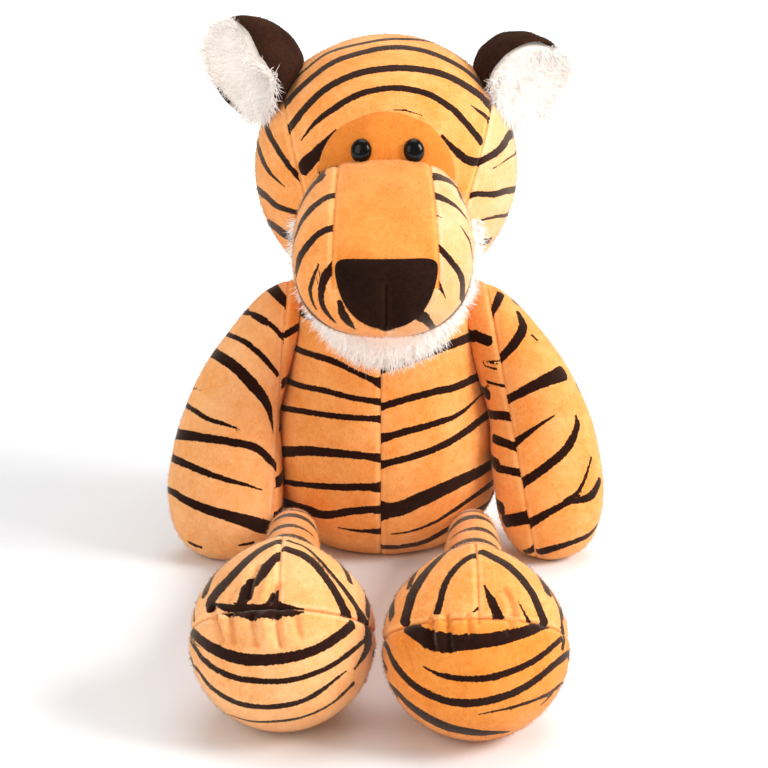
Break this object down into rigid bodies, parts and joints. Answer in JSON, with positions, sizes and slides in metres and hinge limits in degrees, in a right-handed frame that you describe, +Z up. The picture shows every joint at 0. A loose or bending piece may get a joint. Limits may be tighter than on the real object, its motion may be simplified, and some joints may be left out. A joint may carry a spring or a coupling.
{
  "type": "plush tiger",
  "caption": "Seated plush tiger with a round head, boxy muzzle, drop-shaped hanging arms, ball feet and a tail, all striped short-pile plush.",
  "frame": {"origin": "centre of the flat seat panel on the underside of the body, on the floor plane", "axes": "+Z up, -Y the way the toy looks, +X the viewer's right when facing it"},
  "size_m": [0.2044, 0.4042, 0.248],
  "materials": {
    "striped_plush": "short-pile orange plush printed with dark brown stripes",
    "plain_plush": "short-pile orange plush",
    "patch_plush": "short-pile orange-brown plush",
    "dark_plush": "short-pile dark brown plush",
    "white_fur": "long-pile white fur",
    "stuffing": "polyester fibre",
    "pellets": "bean pellets in fibre",
    "eye_plastic": "glossy black",
    "washer_plastic": "moulded"
  },
  "bodies": {
    "torso": {"body_cover_left": "striped_plush", "body_cover_right": "striped_plush", "seat_panel": "striped_plush", "body_stuffing": "stuffing"},
    "neck": {"neck_stuffing": "stuffing"},
    "head": {"head_crown": "striped_plush", "head_side_left": "striped_plush", "head_side_right": "striped_plush", "head_stuffing": "stuffing", "eye_patch": "patch_plush", "eye_left": "eye_plastic", "eye_right": "eye_plastic", "eye_washer_left": "washer_plastic", "eye_washer_right": "washer_plastic", "muzzle_bridge": "plain_plush", "muzzle_cheek_left": "striped_plush", "muzzle_cheek_right": "striped_plush", "muzzle_stuffing": "stuffing", "nose": "dark_plush", "chin_beard": "white_fur", "ear_left_back": "dark_plush", "ear_left_lining": "white_fur", "ear_right_back": "dark_plush", "ear_right_lining": "white_fur"},
    "arm_left": {"arm_left_outer": "striped_plush", "arm_left_inner": "striped_plush", "arm_left_stuffing": "stuffing"},
    "arm_right": {"arm_right_outer": "striped_plush", "arm_right_inner": "striped_plush", "arm_right_stuffing": "stuffing"},
    "leg_left": {"leg_left_upper": "striped_plush", "leg_left_lower": "striped_plush", "leg_left_stuffing": "stuffing", "foot_left_toe": "striped_plush", "foot_left_outer": "striped_plush", "foot_left_inner": "striped_plush", "foot_left_pellets": "pellets"},
    "leg_right": {"leg_right_upper": "striped_plush", "leg_right_lower": "striped_plush", "leg_right_stuffing": "stuffing", "foot_right_toe": "striped_plush", "foot_right_outer": "striped_plush", "foot_right_inner": "striped_plush", "foot_right_pellets": "pellets"},
    "tail": {"tail_upper": "striped_plush", "tail_lower": "striped_plush", "tail_stuffing": "stuffing"}
  },
  "joints": [
    {"name": "head_turn", "type": "hinge", "parent": "torso", "child": "neck", "pos_m": [0.001, 0, 0.1815], "axis": [0, 0, 1], "range_deg": [-30, 30], "stiffness_Nm_per_rad": 0.4},
    {"name": "head_nod", "type": "hinge", "parent": "neck", "child": "head", "pos_m": [0.001, 0, 0.1815], "axis": [-1, 0, 0], "range_deg": [-10, 20], "stiffness_Nm_per_rad": 1.5},
    {"name": "shoulder_left", "type": "hinge", "parent": "torso", "child": "arm_left", "pos_m": [-0.04351, 0, 0.1275], "axis": [-0.9272, 0.3746, 0], "range_deg": [0, 80]},
    {"name": "shoulder_right", "type": "hinge", "parent": "torso", "child": "arm_right", "pos_m": [0.04351, 0, 0.1275], "axis": [-0.9272, -0.3746, 0], "range_deg": [0, 80]},
    {"name": "hip_left", "type": "hinge", "parent": "torso", "child": "leg_left", "pos_m": [-0.04201, -0.02993, 0.0185], "axis": [1, 0, 0], "range_deg": [-25, 70]},
    {"name": "hip_right", "type": "hinge", "parent": "torso", "child": "leg_right", "pos_m": [0.04201, -0.02993, 0.0185], "axis": [1, 0, 0], "range_deg": [-25, 70]},
    {"name": "tail_root", "type": "hinge", "parent": "torso", "child": "tail", "pos_m": [0, 0.0448, 0.0115], "axis": [0, 0, 1], "range_deg": [-45, 45]}
  ]
}
